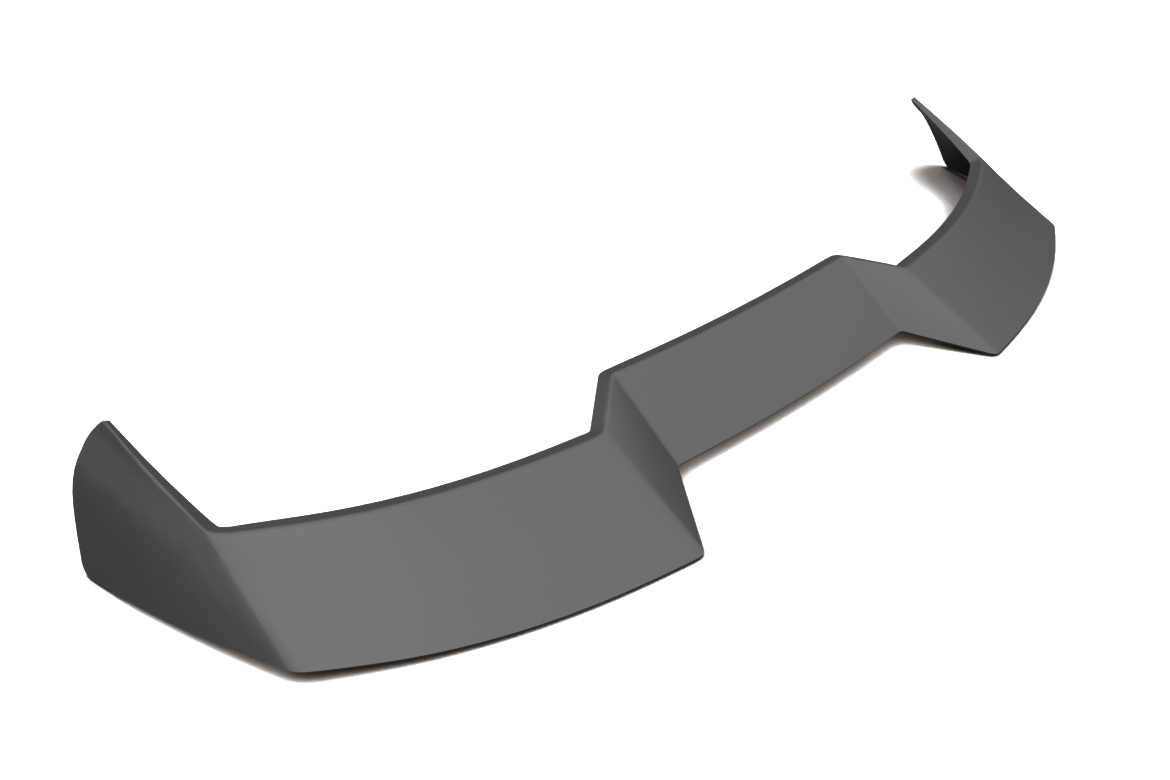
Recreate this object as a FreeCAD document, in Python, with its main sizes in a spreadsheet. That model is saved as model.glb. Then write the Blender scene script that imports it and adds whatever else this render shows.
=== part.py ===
import FreeCAD, Part
import Sketcher
import math
import os

# Roof spoiler cap: one sheet of plastic, moulded over a form and trimmed all round.
# X runs across the car, Y towards the rear, Z up. The cap stands on the front corners
# of its side panels and on the heels of its winglets, all within 0.2 mm of Z = 0.
# Half a cap is a row of stations from the middle to the end of the winglet. Each
# has three corners: the front edge, the fold line and the end of the return lip.
# Splines over these corners give the long faces and the soft folds between them.

DRIVING_SIZES = [
    # the sheet
    ("wall", 3.5),
    ("fold_bend", 5.0),
    ("wing_fold_bend", 11.0),
    # creases, by their distance from the middle
    ("step_inner_x", 165.5),
    ("step_outer_x", 217.0),
    ("crease_x", 523.5),
    ("valley_softness", 7.0),
    ("ridge_softness", 14.0),
    ("crease_front_softness", 14.0),
    ("crease_fold_softness", 24.0),
    # centre panel
    ("centre_front_y", -27.5),
    ("centre_front_sweep", 5.5),
    ("centre_front_z", 9.5),
    ("centre_front_rise", 1.4),
    ("centre_fold_y", 59.5),
    ("centre_fold_sweep", 4.5),
    ("centre_fold_z", 61.5),
    ("centre_fold_rise", 2.3),
    # side panels
    ("side_front_y", -116.5),
    ("side_front_sweep", 54.5),
    ("side_front_tip_sweep", 61.0),
    ("side_front_rise", 7.2),
    ("side_fold_y", 8.0),
    ("side_fold_sweep", 42.0),
    ("side_fold_tip_sweep", 63.0),
    ("side_fold_z", 50.7),
    ("side_fold_rise", 7.0),
    # return lip
    ("lip_width", 16.0),
    ("step_lip_width", 14.2),
    ("crease_lip_width", 15.0),
    ("wing_tip_lip_width", 5.5),
    ("lip_slope", 21.0),
    ("wing_lip_slope", 38.0),
    # winglet, from its crease and drawn a little longer than it is trimmed
    ("wing_length", 257.0),
    ("wing_front_spread", 92.0),
    ("wing_front_z", -3.9),
    ("wing_top_spread", 22.7),
    ("wing_top_z", 106.2),
    ("wing_front_bow", 10.0),
    ("wing_fold_bow", 2.5),
    ("wing_crown", 17.0),
    ("crease_hollow", 3.0),
    # trimmed outline of the winglet, in the plane of its face: it runs round the
    # heel, up the back and round the tip, with headings in degrees
    ("wing_heading", 20.4),
    ("wing_lean", 35.1),
    ("trim_start_along", 203.4),
    ("trim_start_up", -10.2),
    ("trim_start_heading", 0.0),
    ("heel_radius", 18.0),
    ("back_start_heading", 70.3),
    ("back_straight", 43.5),
    ("back_radius", 133.0),
    ("tip_start_heading", 92.0),
    ("tip_radius", 28.5),
    ("apex_start_heading", 145.0),
    ("apex_radius", 4.0),
    ("trim_end_heading", 201.2),
    ("trim_margin", 60.0),
]

CENTRE_STATIONS = 3
SIDE_STATIONS = 5
WING_STATIONS = 3

# how closely the finished shell is measured before it is set on the floor
BOX_TOLERANCE = 0.05

# arcs of the winglet's outline, each with the heading at its end
ARCS = [
    ("heel_radius", "back_start_heading"),
    ("back_radius", "tip_start_heading"),
    ("tip_radius", "apex_start_heading"),
    ("apex_radius", "trim_end_heading"),
]

doc = FreeCAD.newDocument("roof_spoiler_cap")
sizes = doc.addObject("Spreadsheet::Sheet", "Sizes")
for line, (alias, value) in enumerate(DRIVING_SIZES, start=1):
    sizes.set("A%d" % line, alias)
    sizes.set("B%d" % line, str(value))
    sizes.setAlias("B%d" % line, alias)
doc.recompute()


def size(alias):
    return float(sizes.get(alias))


def vector(x, y, z):
    return FreeCAD.Vector(x, y, z)


def between(first, second, share):
    return first + (second - first) * share


def centre_station(x):
    """Front and fold of the centre panel."""
    share = (x / size("step_inner_x")) ** 2
    front = vector(
        x,
        size("centre_front_y") + size("centre_front_sweep") * share,
        size("centre_front_z") + size("centre_front_rise") * share,
    )
    fold = vector(
        x,
        size("centre_fold_y") + size("centre_fold_sweep") * share,
        size("centre_fold_z") + size("centre_fold_rise") * share,
    )
    return front, fold


def side_station(x):
    """Front and fold of the side panel, swept back more and more to the crease."""
    share = x / size("crease_x")
    run = (x - size("step_outer_x")) / (size("crease_x") - size("step_outer_x"))
    front_sweep = size("side_front_sweep") * share**2 + size("side_front_tip_sweep") * share**4
    fold_sweep = size("side_fold_sweep") * share**2 + size("side_fold_tip_sweep") * share**4
    front = vector(x, size("side_front_y") + front_sweep, size("side_front_rise") * run**3)
    fold = vector(
        x,
        size("side_fold_y") + fold_sweep,
        size("side_fold_z") + size("side_fold_rise") * run**2,
    )
    return front, fold


def wing_station(share):
    """Front and fold of the winglet, from the crease to its untrimmed end."""
    crease_x = size("crease_x")
    crease_front, crease_fold = side_station(crease_x)
    end_y = crease_front.y + size("wing_length")
    end_front = vector(crease_x + size("wing_front_spread"), end_y, size("wing_front_z"))
    end_fold = vector(crease_x + size("wing_top_spread"), end_y, size("wing_top_z"))
    heading = math.radians(size("wing_heading"))
    outward = vector(math.cos(heading), -math.sin(heading), 0) * (4 * share * (1 - share))
    front = between(crease_front, end_front, share) + outward * size("wing_front_bow")
    return front, between(crease_fold, end_fold, share) + outward * size("wing_fold_bow")


def step_station(share):
    """Front and fold of the slanted step between the centre and the side panel."""
    inner_front, inner_fold = centre_station(size("step_inner_x"))
    outer_front, outer_fold = side_station(size("step_outer_x"))
    return between(inner_front, outer_front, share), between(inner_fold, outer_fold, share)


def right_half():
    """Stations from the middle outwards: front, fold, place on the winglet."""
    inner_x = size("step_inner_x")
    outer_x = size("step_outer_x")
    crease_x = size("crease_x")
    softness = [size("crease_front_softness"), size("crease_fold_softness")]
    step_length = (step_station(1)[0] - step_station(0)[0]).Length
    wing_length = (wing_station(1)[0] - wing_station(0)[0]).Length
    stations = []
    flat_end = inner_x - size("valley_softness")
    for number in range(CENTRE_STATIONS + 1):
        stations.append(centre_station(flat_end * number / CENTRE_STATIONS) + (0,))
    stations.append(step_station(0) + (0,))
    stations.append(step_station(size("valley_softness") / step_length) + (0,))
    stations.append(step_station(1 - size("ridge_softness") / step_length) + (0,))
    stations.append(step_station(1) + (0,))
    flat_start = outer_x + size("ridge_softness")
    for number in range(SIDE_STATIONS + 1):
        along = number / SIDE_STATIONS
        front_x, fold_x = [between(flat_start, crease_x - soft, along) for soft in softness]
        stations.append((side_station(front_x)[0], side_station(fold_x)[1], 0))
    stations.append(side_station(crease_x) + (0,))
    for number in range(WING_STATIONS + 1):
        along = number / WING_STATIONS
        front_share, fold_share = [between(soft / wing_length, 1, along) for soft in softness]
        stations.append((wing_station(front_share)[0], wing_station(fold_share)[1], fold_share))
    return stations


def mirrored(place):
    return vector(-place.x, place.y, place.z)


def growth(x):
    """Rises from 0 at the step to 1 at the crease, and stays 1 on the winglet."""
    run = (x - size("step_outer_x")) / (size("crease_x") - size("step_outer_x"))
    return min(1, max(0, run))


def lip_measures(x, wing_share):
    """Width and slope of the return lip, which narrows to the end of the winglet."""
    width = between(size("lip_width"), size("crease_lip_width"), growth(x))
    if size("step_inner_x") <= x <= size("step_outer_x"):
        width = size("step_lip_width")
    width = between(width, size("wing_tip_lip_width"), wing_share)
    slope = size("wing_lip_slope") if wing_share else size("lip_slope")
    if x == size("crease_x"):
        slope = between(size("lip_slope"), size("wing_lip_slope"), 0.5)
    return width, slope


def lip_end(before, fold, after, width, slope_degrees):
    """End of the return lip, square to the fold line in plan and mitred at bends."""
    turns = []
    for start, end in ((before, fold), (fold, after)):
        if (end - start).Length > 0:
            turns.append(math.atan2(end.y - start.y, end.x - start.x))
    bend = (turns[-1] - turns[0]) / 2
    square = (turns[0] + turns[-1]) / 2 + math.pi / 2
    slope = math.radians(slope_degrees)
    reach = width * math.cos(slope) / math.cos(bend)
    drop = width * math.sin(slope)
    return fold + vector(reach * math.cos(square), reach * math.sin(square), -drop)


def outer_corners():
    """Front, fold and lip end of every station, from one winglet to the other."""
    half = right_half()
    corners = []
    for number, (front, fold, wing_share) in enumerate(half):
        before = half[number - 1][1] if number else mirrored(half[1][1])
        after = half[number + 1][1] if number + 1 < len(half) else fold
        end = lip_end(before, fold, after, *lip_measures(front.x, wing_share))
        corners.append(([front, fold, end], wing_share))
    left = [([mirrored(c) for c in column], share) for column, share in reversed(corners[1:])]
    return left + corners


def facing(net, column, row):
    """Outward normal of the face between two columns and two rows."""
    a = net[column][row]
    b = net[column + 1][row]
    c = net[column + 1][row + 1]
    d = net[column][row + 1]
    return (c - a).cross(d - b).normalize()


def inner_corners(net):
    """Corners one wall inside the net, mitred between the faces that meet there."""
    inner = []
    for column in range(len(net)):
        moved = []
        for row in range(len(net[0])):
            normals = []
            for left in (column - 1, column):
                for below in (row - 1, row):
                    if 0 <= left < len(net) - 1 and 0 <= below < len(net[0]) - 1:
                        normals.append(facing(net, left, below))
            total = vector(0, 0, 0)
            for normal in normals:
                total = total + normal
            reach = sum(normal.dot(total) for normal in normals) / len(normals)
            moved.append(net[column][row] - total * (size("wall") / reach))
        inner.append(moved)
    return inner


def softened(column, crown, bend):
    """Poles of one station: its corners, a crowned middle and a bend at the fold."""
    front, fold, end = column
    lip = (end - fold).Length
    fold_bend = between(fold, front, bend / (fold - front).Length)
    lip_bend = between(fold, end, min(size("fold_bend"), lip / 2) / lip)
    return [front, between(front, fold, 0.5) + crown, fold_bend, fold, lip_bend, end]


def spline_surface(columns):
    """Quadratic spline over the poles, held at its four edges."""
    spans = len(columns) - 2, len(columns[0]) - 2
    knots = [[float(number) for number in range(span + 1)] for span in spans]
    repeats = [[3] + [1] * (span - 1) + [3] for span in spans]
    surface = Part.BSplineSurface()
    surface.buildFromPolesMultsKnots(
        columns, repeats[0], repeats[1], knots[0], knots[1], False, False, 2, 2
    )
    return surface


def sheet_solid():
    """The moulded sheet before trimming: two skins and the four cut edges between."""
    stations = outer_corners()
    outer_net = [corners for corners, share in stations]
    inner_net = inner_corners(outer_net)
    shapes = []
    for number, (corners, share) in enumerate(stations):
        swell = size("wing_crown") * share
        swell -= size("crease_hollow") * growth(abs(corners[0].x)) ** 3 * (1 - share)
        outward = facing(outer_net, min(number, len(stations) - 2), 0)
        bend = size("wing_fold_bend") if share else size("fold_bend")
        shapes.append((outward * swell, bend))
    skins = []
    for net in (outer_net, inner_net):
        poles = [softened(corners, *shape) for corners, shape in zip(net, shapes)]
        skins.append(spline_surface(poles))
    first_u, last_u, first_v, last_v = skins[0].bounds()
    seams = [first_u, first_u + WING_STATIONS, last_u - WING_STATIONS, last_u]
    faces = []
    for start, end in zip(seams, seams[1:]):
        parts = [skin.copy() for skin in skins]
        for part in parts:
            part.segment(start, end, first_v, last_v)
            faces.append(part.toShape())
        for v in (first_v, last_v):
            faces.append(Part.makeRuledSurface(*[part.vIso(v).toShape() for part in parts]))
    for u in (first_u, last_u):
        faces.append(Part.makeRuledSurface(*[skin.uIso(u).toShape() for skin in skins]))
    shell = Part.makeShell(faces)
    shell.sewShape()
    solid = Part.makeSolid(Part.Shell(shell.Faces))
    if solid.Volume < 0:
        solid.reverse()
    return solid


def wing_plane():
    """Plane of the winglet's face: across to the rear, up the slope, outwards."""
    turn = math.radians(size("wing_heading"))
    lean = math.radians(size("wing_lean"))
    across = vector(math.sin(turn), math.cos(turn), 0)
    outward = vector(math.cos(lean) * math.cos(turn), -math.cos(lean) * math.sin(turn), math.sin(lean))
    slope = outward.cross(across)
    origin = side_station(size("crease_x"))[0]
    return FreeCAD.Placement(origin, FreeCAD.Rotation(across, slope, outward, "XYZ"))


def heading_vector(degrees):
    return vector(math.cos(math.radians(degrees)), math.sin(math.radians(degrees)), 0)


def trim_outline():
    """Lines and arcs round what is trimmed off behind the heel, the back and the tip."""
    margin = size("trim_margin")
    start = vector(size("trim_start_along"), size("trim_start_up"), 0)
    place = start - heading_vector(size("trim_start_heading")) * margin
    pieces = [("line", place, start)]
    heading = size("trim_start_heading")
    place = start
    for alias, next_heading in ARCS:
        radius = size(alias)
        centre = place + heading_vector(heading + 90) * radius
        heading = size(next_heading)
        end = centre - heading_vector(heading + 90) * radius
        pieces.append((alias, place, end, centre))
        place = end
        if alias == "heel_radius":
            end = place + heading_vector(heading) * size("back_straight")
            pieces.append(("line", place, end))
            place = end
    end = place + heading_vector(heading) * margin
    pieces.append(("line", place, end))
    first = pieces[0][1]
    far = start.x + 2 * margin
    high = end.y + 2 * margin
    low = start.y - margin
    corners = [end, vector(end.x, high, 0), vector(far, high, 0)]
    corners += [vector(far, low, 0), vector(first.x, low, 0), first]
    for corner, next_corner in zip(corners, corners[1:]):
        pieces.append(("line", corner, next_corner))
    return pieces


def trim_sketch():
    pieces = trim_outline()
    sketch = doc.addObject("Sketcher::SketchObject", "WingletTrim")
    for kind, start, end, *centre in pieces:
        if kind == "line":
            sketch.addGeometry(Part.LineSegment(start, end), False)
            continue
        angles = [math.atan2(at.y - centre[0].y, at.x - centre[0].x) for at in (start, end)]
        circle = Part.Circle(centre[0], vector(0, 0, 1), size(kind))
        place = sketch.addGeometry(Part.ArcOfCircle(circle, *angles), False)
        radius = sketch.addConstraint(Sketcher.Constraint("Radius", place, size(kind)))
        sketch.renameConstraint(radius, kind)
        sketch.setExpression("Constraints." + kind, "Sizes." + kind)
    smooth = len(ARCS) + 2
    for number in range(len(pieces)):
        joint = "Tangent" if number < smooth else "Coincident"
        sketch.addConstraint(Sketcher.Constraint(joint, number, 2, (number + 1) % len(pieces), 1))
    sketch.Placement = wing_plane()
    return sketch


sheet = doc.addObject("Part::Feature", "MouldedSheet")
sheet.Shape = sheet_solid()

trim = doc.addObject("Part::Extrusion", "RightTrim")
trim.Base = trim_sketch()
trim.DirMode = "Normal"
trim.Solid = True
trim.setExpression("LengthFwd", "Sizes.trim_margin")
trim.setExpression("LengthRev", "Sizes.trim_margin")

left_trim = doc.addObject("Part::Mirroring", "LeftTrim")
left_trim.Source = trim
left_trim.Normal = vector(1, 0, 0)

right_cut = doc.addObject("Part::Cut", "RightTrimmed")
right_cut.Base = sheet
right_cut.Tool = trim

shell = doc.addObject("Part::Cut", "Shell")
shell.Base = right_cut
shell.Tool = left_trim
shell.Label = "spoiler_shell"
doc.recompute()
points, triangles = shell.Shape.tessellate(BOX_TOLERANCE)
rows = [point.y for point in points]
shell.Placement.Base = vector(0, -(min(rows) + max(rows)) / 2, -min(point.z for point in points))
doc.recompute()

for item in doc.Objects:
    if "Invalid" in item.State or "Error" in item.State:
        raise RuntimeError(item.Label + " did not build")
if shell.Shape.isNull() or not shell.Shape.isValid():
    raise RuntimeError("the shell is not a valid solid")
if len(shell.Shape.Solids) != 1:
    raise RuntimeError("the shell is not one solid")

os.makedirs("parts", exist_ok=True)
shell.Shape.exportStep("parts/" + shell.Label + ".step")
print("spoiler_shell:", round(shell.Shape.Volume / 1000), "cm3, moved by", shell.Placement.Base)
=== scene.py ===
import math

import bpy
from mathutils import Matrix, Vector


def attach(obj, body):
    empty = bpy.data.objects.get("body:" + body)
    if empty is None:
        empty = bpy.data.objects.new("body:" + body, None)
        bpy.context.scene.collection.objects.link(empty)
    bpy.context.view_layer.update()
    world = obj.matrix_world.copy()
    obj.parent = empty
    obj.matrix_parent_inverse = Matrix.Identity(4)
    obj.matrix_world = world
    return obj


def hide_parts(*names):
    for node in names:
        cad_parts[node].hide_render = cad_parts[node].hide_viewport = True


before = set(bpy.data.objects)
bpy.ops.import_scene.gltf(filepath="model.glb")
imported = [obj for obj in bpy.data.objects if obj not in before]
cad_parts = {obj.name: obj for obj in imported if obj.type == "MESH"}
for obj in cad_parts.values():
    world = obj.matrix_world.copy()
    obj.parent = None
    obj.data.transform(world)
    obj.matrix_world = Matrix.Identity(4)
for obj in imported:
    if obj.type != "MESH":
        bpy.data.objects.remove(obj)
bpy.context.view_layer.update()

# A roof spoiler cap of dark grey moulded plastic, lying on a white floor in a tent of
# soft light. Lengths are in metres and colours are sRGB hex.

def stage(text):
    print("stage:", text)


def linearColour(hexText):
    channels = []
    for start in (1, 3, 5):
        value = int(hexText[start:start + 2], 16) / 255
        channels.append(value / 12.92 if value <= 0.04045 else ((value + 0.055) / 1.055) ** 2.4)
    return (*channels, 1.0)


def addNode(tree, kind, settings, links):
    node = tree.nodes.new(kind)
    for name, value in settings.items():
        if isinstance(name, str) and hasattr(node, name):
            setattr(node, name, value)
        else:
            node.inputs[name].default_value = value
    for name, source in links.items():
        tree.links.new(source, node.inputs[name])
    return node


def addRamp(tree, steps, source):
    ramp = addNode(tree, "ShaderNodeValToRGB", {}, {"Fac": source})
    stops = ramp.color_ramp.elements
    while len(stops) < len(steps):
        stops.new(0.5)
    for stop, (place, colour) in zip(stops, steps):
        stop.position = place
        stop.color = colour
    return ramp


def emptyTree(owner):
    owner.use_nodes = True
    owner.node_tree.nodes.clear()
    return owner.node_tree


def selectOnly(piece):
    bpy.ops.object.select_all(action="DESELECT")
    piece.select_set(True)
    bpy.context.view_layer.objects.active = piece


absFinish = {
    "colour": "#3c3c3c",
    "paleColour": "#414140",
    "roughness": 0.30,
    "roughnessChange": 0.06,
    "patchSize": 0.090,
    "grainSize": 0.0009,
    "grainDepth": 0.00005,
    "rippleSize": 0.035,
    "rippleDepth": 0.00006,
}


def mouldedAbs():
    # Moulded ABS, dark grey all through: satin, with a fine even grain from the mould
    # and broad faint unevenness that breaks up the reflection of the softbox.
    material = bpy.data.materials.new("mouldedAbs")
    tree = emptyTree(material)
    place = addNode(tree, "ShaderNodeTexCoord", {}, {}).outputs["Object"]
    patches = addNode(
        tree,
        "ShaderNodeTexNoise",
        {"Scale": 1 / absFinish["patchSize"], "Detail": 3.0},
        {"Vector": place},
    )
    steps = [(0.0, linearColour(absFinish["colour"])), (1.0, linearColour(absFinish["paleColour"]))]
    colour = addRamp(tree, steps, patches.outputs["Fac"])
    roughness = addNode(
        tree,
        "ShaderNodeMapRange",
        {
            "To Min": absFinish["roughness"] - absFinish["roughnessChange"] / 2,
            "To Max": absFinish["roughness"] + absFinish["roughnessChange"] / 2,
        },
        {"Value": patches.outputs["Fac"]},
    )
    ripple = addNode(
        tree,
        "ShaderNodeTexNoise",
        {"Scale": 1 / absFinish["rippleSize"], "Detail": 1.0},
        {"Vector": place},
    )
    waves = addNode(
        tree,
        "ShaderNodeBump",
        {"Strength": 1.0, "Distance": absFinish["rippleDepth"]},
        {"Height": ripple.outputs["Fac"]},
    )
    grain = addNode(
        tree,
        "ShaderNodeTexNoise",
        {"Scale": 1 / absFinish["grainSize"], "Detail": 2.0},
        {"Vector": place},
    )
    surface = addNode(
        tree,
        "ShaderNodeBump",
        {"Strength": 1.0, "Distance": absFinish["grainDepth"]},
        {"Height": grain.outputs["Fac"], "Normal": waves.outputs["Normal"]},
    )
    shader = addNode(
        tree,
        "ShaderNodeBsdfPrincipled",
        {"IOR": 1.5},
        {
            "Base Color": colour.outputs["Color"],
            "Roughness": roughness.outputs["Result"],
            "Normal": surface.outputs["Normal"],
        },
    )
    addNode(tree, "ShaderNodeOutputMaterial", {}, {"Surface": shader.outputs["BSDF"]})
    return material


# Each painted shade darkens the floor's colour where it is hemmed in within its reach, as painted
# contact shadow found by ambient occlusion.
# A step is how open the floor is, from 0 to 1, and the painted shade tint it has there.
floorFinish = {
    "size": 14.0,
    "colour": "#585858",
    "seenGlow": 1.0,
    "shadeSamples": 12,
    "paintedShades": (
        {
            "reach": 0.015,
            "steps": ((0.60, "#7c7773"), (0.75, "#ffffff")),
        },
        {
            "reach": 0.100,
            "steps": ((0.25, "#2a2827"), (0.42, "#6b6764"), (0.62, "#6b6764"), (0.77, "#ffffff")),
        },
    ),
}


def whiteFloor():
    # Matt studio paper. The camera sees it white, with painted shade under the cap's edges and in its
    # hollows, darker than its real shadow alone. Reflections see it dark grey, as a floor away from
    # the lamps.
    material = bpy.data.materials.new("studioPaper")
    tree = emptyTree(material)
    rays = addNode(tree, "ShaderNodeLightPath", {}, {})
    paintedShadeTints = []
    # Painted shade: each occlusion ramp gives a darker floor tint the closer the cap hems the floor
    # in.
    for shade in floorFinish["paintedShades"]:
        closeness = addNode(
            tree,
            "ShaderNodeAmbientOcclusion",
            {"samples": floorFinish["shadeSamples"], "Distance": shade["reach"]},
            {},
        )
        steps = [(place, linearColour(colour)) for place, colour in shade["steps"]]
        paintedShadeTints.append(addRamp(tree, steps, closeness.outputs["AO"]).outputs["Color"])
    # The painted shade tints multiply into the floor colour that the camera sees.
    seen = addNode(
        tree,
        "ShaderNodeMixRGB",
        {"blend_type": "MULTIPLY", "Fac": 1.0},
        {"Color1": paintedShadeTints[0], "Color2": paintedShadeTints[1]},
    )
    colour = addNode(
        tree,
        "ShaderNodeMixRGB",
        {"Color1": linearColour(floorFinish["colour"])},
        {"Fac": rays.outputs["Is Camera Ray"], "Color2": seen.outputs["Color"]},
    )
    paper = addNode(tree, "ShaderNodeBsdfDiffuse", {}, {"Color": colour.outputs["Color"]})
    # The floor glows white for the camera only, and the glow carries the same painted shade.
    glow = addNode(
        tree,
        "ShaderNodeMath",
        {"operation": "MULTIPLY", 1: floorFinish["seenGlow"]},
        {0: rays.outputs["Is Camera Ray"]},
    )
    white = addNode(
        tree,
        "ShaderNodeEmission",
        {},
        {"Color": seen.outputs["Color"], "Strength": glow.outputs["Value"]},
    )
    shader = addNode(
        tree,
        "ShaderNodeAddShader",
        {},
        {0: paper.outputs["BSDF"], 1: white.outputs["Emission"]},
    )
    addNode(tree, "ShaderNodeOutputMaterial", {}, {"Surface": shader.outputs["Shader"]})
    return material


shellPiece = {
    "name": "spoilerSkin",
    "node": "spoiler_shell",
    "mergeDistance": 0.00002,
    "sharpAngle": 35.0,
    "edgeRounding": 0.0005,
    "edgeSteps": 2,
    "largeFaceWeight": 40,
}


def shellSkin():
    # A merged copy of the shell's surface with its trimmed edges slightly rounded.
    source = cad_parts[shellPiece["node"]]
    skin = bpy.data.objects.new(shellPiece["name"], source.data.copy())
    bpy.context.scene.collection.objects.link(skin)
    selectOnly(skin)
    bpy.ops.object.mode_set(mode="EDIT")
    bpy.ops.mesh.select_mode(type="EDGE")
    bpy.ops.mesh.select_all(action="SELECT")
    bpy.ops.mesh.remove_doubles(threshold=shellPiece["mergeDistance"])
    bpy.ops.mesh.select_all(action="DESELECT")
    bpy.ops.mesh.edges_select_sharp(sharpness=math.radians(shellPiece["sharpAngle"]))
    bpy.ops.mesh.bevel(
        offset=shellPiece["edgeRounding"],
        segments=shellPiece["edgeSteps"],
        affect="EDGES",
        clamp_overlap=True,
    )
    bpy.ops.object.mode_set(mode="OBJECT")
    bpy.ops.object.shade_smooth_by_angle(angle=math.radians(shellPiece["sharpAngle"]))
    flatten = skin.modifiers.new("largeFacesLead", "WEIGHTED_NORMAL")
    flatten.mode = "FACE_AREA"
    flatten.weight = shellPiece["largeFaceWeight"]
    flatten.keep_sharp = True
    bpy.ops.object.modifier_apply(modifier=flatten.name)
    skin.data.materials.clear()
    skin.data.materials.append(mouldedAbs())
    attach(skin, "root")
    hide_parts(shellPiece["node"])
    return skin


def studioFloor():
    bpy.ops.object.select_all(action="DESELECT")
    bpy.ops.mesh.primitive_plane_add(size=floorFinish["size"], location=(0, 0, 0))
    floor = bpy.context.object
    floor.name = "studioFloor"
    floor.data.materials.append(whiteFloor())
    return floor


# The light tent is brightest along its axis, overhead and a little to the front, and
# dims away from it. Each step is the cosine of the angle to the axis and a brightness.
lightTent = {
    "brightest": 2.55,
    "axis": (0.03, -0.25, 0.968),
    "steps": ((0.0, 0.03), (0.25, 0.065), (0.43, 0.14), (0.60, 0.38), (0.84, 0.86), (1.0, 1.0)),
}


def tentOfLight():
    # Soft light from all round, dim at the horizon. Where the camera looks past the
    # floor it is plain white. Reflections see the tent, as nothing here is metal or glass.
    world = bpy.data.worlds.new("lightTent")
    bpy.context.scene.world = world
    tree = emptyTree(world)
    rays = addNode(tree, "ShaderNodeLightPath", {}, {})
    direction = addNode(tree, "ShaderNodeTexCoord", {}, {}).outputs["Generated"]
    nearness = addNode(
        tree,
        "ShaderNodeVectorMath",
        {"operation": "DOT_PRODUCT", 1: lightTent["axis"]},
        {0: direction},
    )
    steps = [(place, (share, share, share, 1.0)) for place, share in lightTent["steps"]]
    brightness = addRamp(tree, steps, nearness.outputs["Value"])
    brightness.color_ramp.interpolation = "B_SPLINE"
    tent = addNode(
        tree,
        "ShaderNodeBackground",
        {"Strength": lightTent["brightest"]},
        {"Color": brightness.outputs["Color"]},
    )
    white = addNode(tree, "ShaderNodeBackground", {"Color": (1.0, 1.0, 1.0, 1.0), "Strength": 1.0}, {})
    seen = addNode(
        tree,
        "ShaderNodeMixShader",
        {},
        {
            "Fac": rays.outputs["Is Camera Ray"],
            1: tent.outputs["Background"],
            2: white.outputs["Background"],
        },
    )
    addNode(tree, "ShaderNodeOutputWorld", {}, {"Surface": seen.outputs["Shader"]})
    return world


# A small softbox over the near end brightens the outer part of the near panel.
nearSoftbox = {
    "place": (-0.60, -0.10, 1.25),
    "size": 0.60,
    "power": 0.9,
}


def softboxOverNearEnd():
    lamp = bpy.data.lights.new("nearSoftbox", "AREA")
    lamp.size = nearSoftbox["size"]
    lamp.energy = nearSoftbox["power"]
    softbox = bpy.data.objects.new("nearSoftbox", lamp)
    softbox.location = nearSoftbox["place"]
    bpy.context.scene.collection.objects.link(softbox)
    return softbox


# The picture's camera, worked out from the mirrored halves of the cap in it.
photoCamera = {
    "place": (-0.66432, -0.54423, 0.58498),
    "direction": (0.52854, 0.60959, -0.59080),
    "focalPixels": 1003.0,
    "imageWidth": 1170.0,
    "sensorWidth": 36.0,
}


def cameraOfPhoto():
    lens = bpy.data.cameras.new("photoCamera")
    lens.sensor_width = photoCamera["sensorWidth"]
    lens.lens = photoCamera["focalPixels"] / photoCamera["imageWidth"] * photoCamera["sensorWidth"]
    camera = bpy.data.objects.new("photoCamera", lens)
    camera.location = photoCamera["place"]
    camera.rotation_euler = Vector(photoCamera["direction"]).to_track_quat("-Z", "Y").to_euler()
    bpy.context.scene.collection.objects.link(camera)
    bpy.context.scene.camera = camera
    return camera


stage("frame loaded")
shellSkin()
stage("shell dressed")
studioFloor()
tentOfLight()
softboxOverNearEnd()
cameraOfPhoto()
bpy.context.scene.view_settings.view_transform = "Standard"
stage("studio set")
